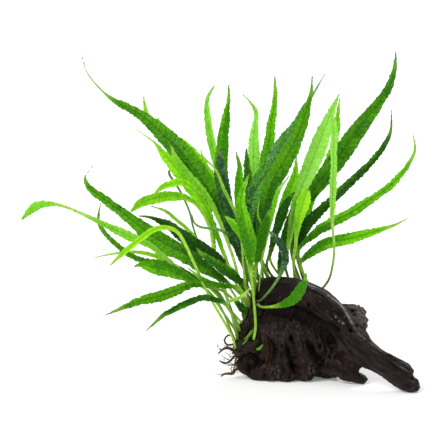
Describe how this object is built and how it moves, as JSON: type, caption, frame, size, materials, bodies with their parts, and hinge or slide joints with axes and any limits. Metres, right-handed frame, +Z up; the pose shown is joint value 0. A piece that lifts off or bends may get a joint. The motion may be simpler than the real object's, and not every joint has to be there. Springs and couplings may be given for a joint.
{
  "type": "java fern on driftwood",
  "caption": "Java fern clump: long narrow arching fronds on wiry stalks rising from a creeping stem that grips a dark branching piece of driftwood with a long arm.",
  "frame": {"origin": "on the flat underside of the driftwood body, below the middle of its lower mass", "axes": "+Z up from the surface it stands on, +X towards the tip of the long arm, -Y is the front"},
  "size_m": [0.3158, 0.1313, 0.256],
  "materials": {
    "driftwood": "wet, dark, deeply grained",
    "stem": "scaly, fuzzy brown",
    "root": "wiry, satin brown",
    "leaf_lime": "waxy leaf, translucent",
    "leaf_bright": "waxy leaf, translucent",
    "leaf_mid": "waxy leaf, translucent",
    "leaf_deep": "waxy leaf, translucent",
    "leaf_bluish": "waxy leaf, translucent",
    "leaf_pale": "waxy leaf, translucent"
  },
  "bodies": {
    "root": {"driftwood_arm": "driftwood", "driftwood_body": "driftwood", "driftwood_prong": "driftwood", "driftwood_stub": "driftwood", "frond_left_01": "leaf_lime", "frond_left_02": "leaf_pale", "frond_left_03": "leaf_mid", "frond_left_04": "leaf_deep", "frond_left_05": "leaf_mid", "frond_left_06": "leaf_lime", "frond_left_07": "leaf_bright", "frond_left_08": "leaf_mid", "frond_left_09": "leaf_mid", "frond_left_10": "leaf_bright", "frond_left_11": "leaf_mid", "frond_left_12": "leaf_deep", "frond_left_13": "leaf_lime", "frond_left_14": "leaf_lime", "frond_left_15": "leaf_lime", "frond_left_16": "leaf_deep", "frond_left_17": "leaf_bluish", "frond_left_18": "leaf_pale", "frond_middle_01": "leaf_bright", "frond_middle_02": "leaf_bright", "frond_middle_03": "leaf_lime", "frond_middle_04": "leaf_bluish", "frond_middle_05": "leaf_bright", "frond_middle_06": "leaf_lime", "frond_middle_07": "leaf_pale", "frond_middle_08": "leaf_deep", "frond_middle_09": "leaf_mid", "frond_right_01": "leaf_pale", "frond_right_02": "leaf_lime", "frond_right_03": "leaf_pale", "frond_right_04": "leaf_mid", "frond_right_05": "leaf_deep", "frond_right_06": "leaf_bright", "frond_right_07": "leaf_bright", "frond_right_08": "leaf_lime", "frond_top_01": "leaf_mid", "frond_top_02": "leaf_lime", "frond_top_03": "leaf_pale", "frond_top_04": "leaf_lime", "frond_top_05": "leaf_lime", "frond_top_06": "leaf_bright", "frond_top_07": "leaf_pale", "frond_top_08": "leaf_bright", "frond_top_09": "leaf_bluish", "frond_top_10": "leaf_pale", "frond_top_11": "leaf_lime", "frond_top_12": "leaf_deep", "frond_top_13": "leaf_bright", "frond_top_14": "leaf_bluish", "frond_top_15": "leaf_mid", "rhizome": "stem", "rhizome_branch": "stem", "root_curl": "root", "root_fork": "root", "root_low": "root", "root_side": "root"}
  },
  "joints": []
}
